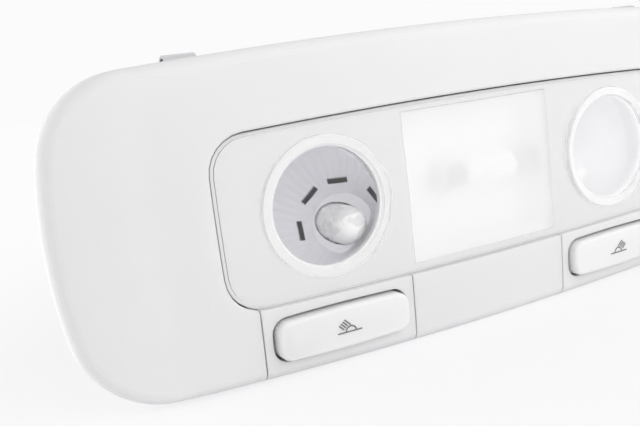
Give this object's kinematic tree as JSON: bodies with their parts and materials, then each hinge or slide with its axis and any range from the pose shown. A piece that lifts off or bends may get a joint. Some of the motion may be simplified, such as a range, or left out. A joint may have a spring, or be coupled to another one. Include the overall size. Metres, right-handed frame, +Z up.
{
  "type": "car dome light",
  "caption": "Overhead car interior light: bowed bezel with a clear lens over two fluted reading lamps and a frosted centre window, with two push buttons below",
  "frame": {"origin": "Centre of the seat plane, the plane of the bezel's rear rim that lies on the headliner; at the height of the lamps' centres and on the plane of symmetry.", "axes": "+X to the right along the width, seen from the front; +Y back through the roof opening; +Z up towards the edge with the spring clips, with the buttons at the bottom. The front faces -Y. In the car the front looks down."},
  "size_m": [0.219, 0.0485, 0.0794],
  "materials": {
    "bezel_plastic": "fine moulded texture",
    "clear_cover": "clear moulded polycarbonate",
    "clear_lens": "clear moulded polycarbonate",
    "carrier_plastic": "smooth moulded",
    "frosted_window": "frosted",
    "white_plastic": "smooth white",
    "reflector_metal": "vacuum metallised",
    "bulb_glass": "clear glass",
    "filament_wire": "bare wire",
    "socket_plastic": "moulded",
    "cap_metal": "drawn",
    "contact_metal": "tin plated",
    "button_plastic": "smooth moulded",
    "switch_plastic": "moulded",
    "spring_steel": "rolled",
    "housing_plastic": "moulded",
    "strip_brass": "stamped sheet",
    "connector_plastic": "moulded",
    "screw_steel": "zinc plated"
  },
  "bodies": {
    "light_body": {"trim_frame": "bezel_plastic", "lens_cover": "clear_cover", "lamp_carrier": "carrier_plastic", "centre_diffuser": "frosted_window", "centre_reflector": "white_plastic", "left_reading_lens": "clear_lens", "right_reading_lens": "clear_lens", "left_reflector": "reflector_metal", "right_reflector": "reflector_metal", "left_bulb": "bulb_glass", "right_bulb": "bulb_glass", "left_bulb_filament": "filament_wire", "right_bulb_filament": "filament_wire", "left_bulb_socket": "socket_plastic", "right_bulb_socket": "socket_plastic", "festoon_glass": "bulb_glass", "festoon_caps": "cap_metal", "festoon_filament": "filament_wire", "festoon_contact_left": "contact_metal", "festoon_contact_right": "contact_metal", "left_switch_panel": "bezel_plastic", "centre_panel": "bezel_plastic", "right_switch_panel": "bezel_plastic", "left_return_spring": "spring_steel", "right_return_spring": "spring_steel", "left_switch_body": "switch_plastic", "right_switch_body": "switch_plastic", "rear_housing": "housing_plastic", "supply_strip": "strip_brass", "ground_strip": "strip_brass", "connector_housing": "connector_plastic", "connector_pins": "contact_metal", "left_spring_clip": "spring_steel", "right_spring_clip": "spring_steel", "housing_screws": "screw_steel"},
    "left_key": {"left_button": "button_plastic", "left_plunger": "switch_plastic"},
    "right_key": {"right_button": "button_plastic", "right_plunger": "switch_plastic"}
  },
  "joints": [
    {"name": "left_button_press", "type": "slide", "parent": "light_body", "child": "left_key", "axis": [0, 1, 0], "range_m": [0, 0.002], "stiffness_N_per_m": 500, "springref_m": -0.001, "deforming": ["left_return_spring"]},
    {"name": "right_button_press", "type": "slide", "parent": "light_body", "child": "right_key", "axis": [0, 1, 0], "range_m": [0, 0.002], "stiffness_N_per_m": 500, "springref_m": -0.001, "deforming": ["right_return_spring"]}
  ]
}
